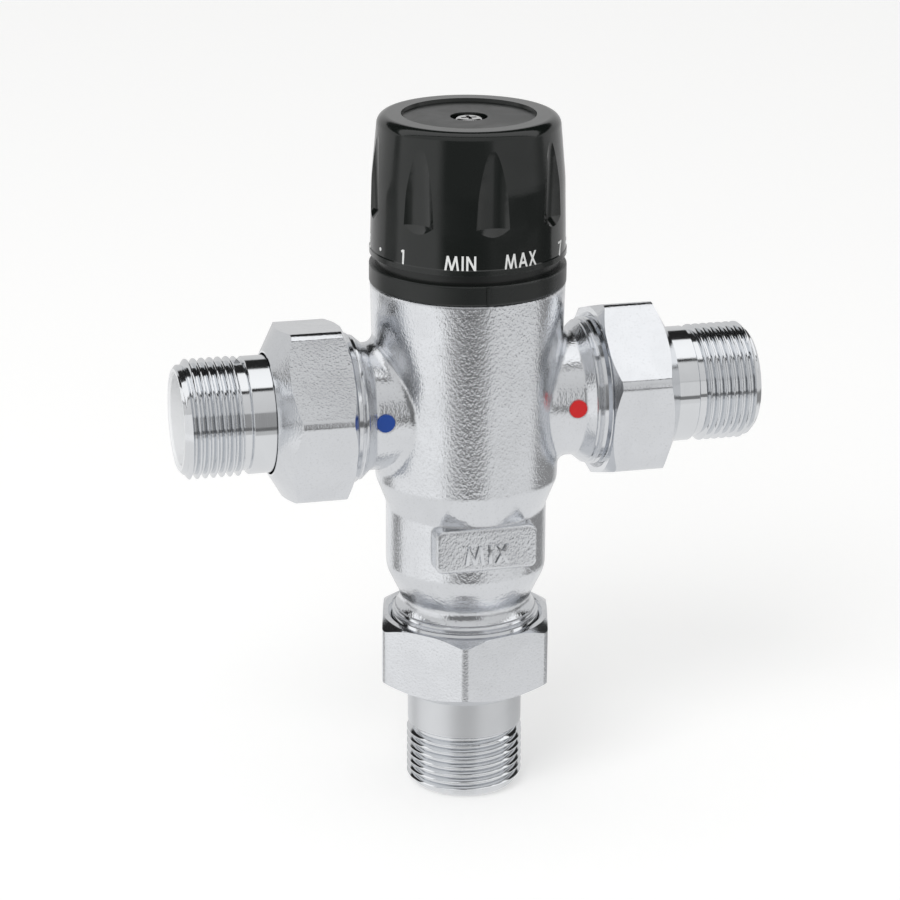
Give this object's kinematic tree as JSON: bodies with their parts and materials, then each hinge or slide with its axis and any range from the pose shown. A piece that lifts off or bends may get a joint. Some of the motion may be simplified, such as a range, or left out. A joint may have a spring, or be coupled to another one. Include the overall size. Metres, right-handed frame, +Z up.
{
  "type": "thermostatic mixing valve",
  "caption": "Three-way thermostatic mixing valve: hot and cold inlets in line, mixed outlet below, fluted temperature knob on top, a union nut and threaded tailpiece on each port.",
  "frame": {"origin": "centre of the mixed outlet's end face", "axes": "+Z up along the spindle, towards the knob; +X towards the hot inlet; -Y the front, with the index line"},
  "size_m": [0.131, 0.0434, 0.157],
  "materials": {
    "cast_plating": "satin",
    "nut_plating": "satin",
    "turned_plating": "polished",
    "black_plastic": "gloss",
    "blue_plastic": "gloss",
    "red_plastic": "gloss",
    "white_plastic": "matte",
    "brass": "machined",
    "steel": "satin",
    "rubber": "matte",
    "fibre": "matte"
  },
  "bodies": {
    "valve": {"valve_body": "cast_plating", "cold_dot": "blue_plastic", "hot_dot": "red_plastic", "index_ring": "black_plastic", "bonnet": "brass", "bonnet_seal": "rubber", "thrust_washer": "white_plastic", "spring_seat": "brass", "return_spring": "steel", "cold_gasket": "fibre", "hot_gasket": "fibre", "outlet_gasket": "fibre", "cold_strainer": "steel", "cold_check_body": "white_plastic", "cold_check_o_ring": "rubber", "cold_check_spring": "steel", "hot_strainer": "steel", "hot_check_body": "white_plastic", "hot_check_o_ring": "rubber", "hot_check_spring": "steel"},
    "knob_assembly": {"knob": "black_plastic", "knob_screw": "steel", "spindle": "brass", "spindle_seal_lower": "rubber", "spindle_seal_upper": "rubber", "spindle_circlip": "steel"},
    "adjuster": {"adjuster_cup": "brass", "push_pad": "brass", "pad_snap_ring": "steel", "overload_spring": "steel", "element_pin": "steel"},
    "shuttle_assembly": {"shuttle": "white_plastic", "shuttle_seal": "rubber", "thermostat_element": "brass"},
    "cold_poppet": {"cold_check_poppet": "white_plastic", "cold_check_seal": "rubber"},
    "hot_poppet": {"hot_check_poppet": "white_plastic", "hot_check_seal": "rubber"},
    "cold_tailpiece": {"cold_tail": "turned_plating"},
    "cold_union_nut": {"cold_nut": "nut_plating"},
    "hot_tailpiece": {"hot_tail": "turned_plating"},
    "hot_union_nut": {"hot_nut": "nut_plating"},
    "outlet_tailpiece": {"outlet_tail": "turned_plating"},
    "outlet_union_nut": {"outlet_nut": "nut_plating"}
  },
  "joints": [
    {"name": "knob_turn", "type": "hinge", "parent": "valve", "child": "knob_assembly", "pos_m": [0, 0, 0.132], "axis": [0, 0, 1], "range_deg": [0, 340]},
    {"name": "adjuster_rise", "type": "slide", "parent": "valve", "child": "adjuster", "axis": [0, 0, 1], "range_m": [0, 0.00142], "deforming": ["return_spring"]},
    {"name": "element_stroke", "type": "slide", "parent": "adjuster", "child": "shuttle_assembly", "axis": [0, 0, -1], "range_m": [0, 0.0016], "stiffness_N_per_m": 1500, "springref_m": -0.005, "deforming": ["return_spring"]},
    {"name": "cold_check_open", "type": "slide", "parent": "valve", "child": "cold_poppet", "axis": [1, 0, 0], "range_m": [0, 0.0032], "stiffness_N_per_m": 60, "springref_m": -0.003, "deforming": ["cold_check_spring"]},
    {"name": "hot_check_open", "type": "slide", "parent": "valve", "child": "hot_poppet", "axis": [-1, 0, 0], "range_m": [0, 0.0032], "stiffness_N_per_m": 60, "springref_m": -0.003, "deforming": ["hot_check_spring"]},
    {"name": "cold_tail_draw", "type": "slide", "parent": "valve", "child": "cold_tailpiece", "axis": [-1, 0, 0], "range_m": [0, 0.00924]},
    {"name": "cold_nut_turn", "type": "hinge", "parent": "cold_tailpiece", "child": "cold_union_nut", "pos_m": [-0.0375, 0, 0.092], "axis": [-1, 0, 0], "range_deg": [0, 1440]},
    {"name": "hot_tail_draw", "type": "slide", "parent": "valve", "child": "hot_tailpiece", "axis": [1, 0, 0], "range_m": [0, 0.00924]},
    {"name": "hot_nut_turn", "type": "hinge", "parent": "hot_tailpiece", "child": "hot_union_nut", "pos_m": [0.0375, 0, 0.092], "axis": [1, 0, 0], "range_deg": [0, 1440]},
    {"name": "outlet_tail_draw", "type": "slide", "parent": "valve", "child": "outlet_tailpiece", "axis": [0, 0, -1], "range_m": [0, 0.00924]},
    {"name": "outlet_nut_turn", "type": "hinge", "parent": "outlet_tailpiece", "child": "outlet_union_nut", "pos_m": [0, 0, 0.0315], "axis": [0, 0, -1], "range_deg": [0, 1440]}
  ],
  "couplings": [
    {"joint": "adjuster_rise", "follows": "knob_turn", "m_per_rad": 0.00023873},
    {"joint": "cold_tail_draw", "follows": "cold_nut_turn", "m_per_rad": 0.00036749},
    {"joint": "hot_tail_draw", "follows": "hot_nut_turn", "m_per_rad": 0.00036749},
    {"joint": "outlet_tail_draw", "follows": "outlet_nut_turn", "m_per_rad": 0.00036749}
  ]
}
